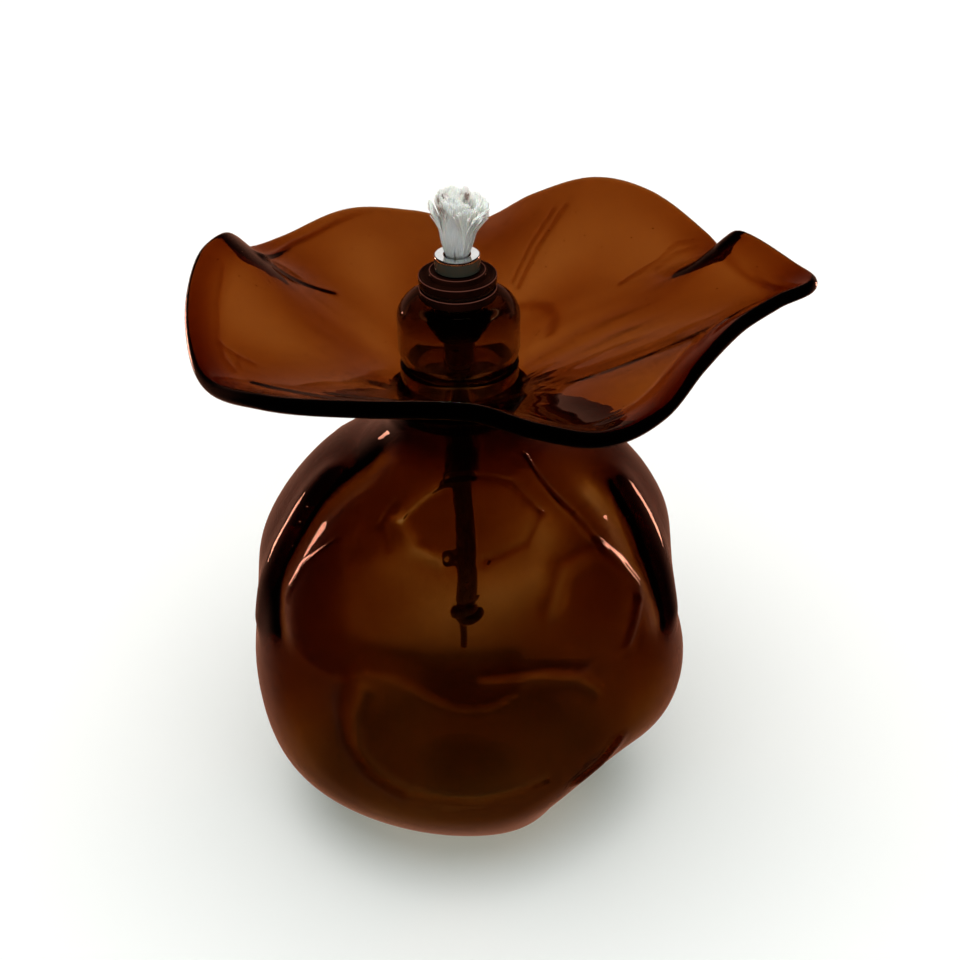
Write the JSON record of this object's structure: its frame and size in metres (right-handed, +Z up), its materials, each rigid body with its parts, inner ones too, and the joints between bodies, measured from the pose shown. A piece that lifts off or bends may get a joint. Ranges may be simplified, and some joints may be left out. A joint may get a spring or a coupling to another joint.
{
  "type": "oil lamp",
  "caption": "Blown amber glass oil lamp: a lumpy reservoir bulb, a wide wavy dish plugged into its neck, and a glass burner barrel with a fibre wick in a polished ring.",
  "frame": {"origin": "centre of the flat foot that the lamp stands on", "axes": "+Z up along the wick, -Y towards the front, +X to the right with the long tip of the dish"},
  "size_m": [0.1966, 0.179, 0.241],
  "materials": {
    "bulb_glass": "clear amber, blown",
    "dish_glass": "clear amber, blown, fire-polished rim",
    "barrel_glass": "clear amber, blown",
    "dark_glass": "near-black brown, glossy",
    "seat_silicone": "clear amber silicone",
    "seal_rubber": "matt dark silicone",
    "ring_metal": "polished",
    "tube_metal": "drawn tube",
    "wick_fibre": "white glass fibre",
    "wick_soaked": "glass fibre soaked in oil"
  },
  "bodies": {
    "bulb": {"reservoir_bulb": "bulb_glass"},
    "dish": {"wave_dish": "dish_glass", "seat_ring": "seat_silicone"},
    "burner": {"burner_barrel": "barrel_glass"},
    "holder": {"cap_collar": "dark_glass", "cap_gasket": "seal_rubber", "cap_plate": "dark_glass", "wick_tube": "tube_metal", "wick_ring": "ring_metal"},
    "wick": {"wick_core": "wick_fibre", "wick_tuft": "wick_fibre", "wick_tail": "wick_soaked", "wick_knot": "wick_soaked", "knot_end": "wick_soaked"}
  },
  "joints": [
    {"name": "dish_lift", "type": "slide", "parent": "bulb", "child": "dish", "axis": [0, 0, 1], "range_m": [0, 0.03]},
    {"name": "burner_lift", "type": "slide", "parent": "dish", "child": "burner", "axis": [0, 0, 1], "range_m": [0, 0.06]},
    {"name": "holder_lift", "type": "slide", "parent": "burner", "child": "holder", "axis": [0, 0, 1], "range_m": [0, 0.04]},
    {"name": "wick_feed", "type": "slide", "parent": "holder", "child": "wick", "axis": [0, 0, 1], "range_m": [-0.001, 0.006]}
  ]
}
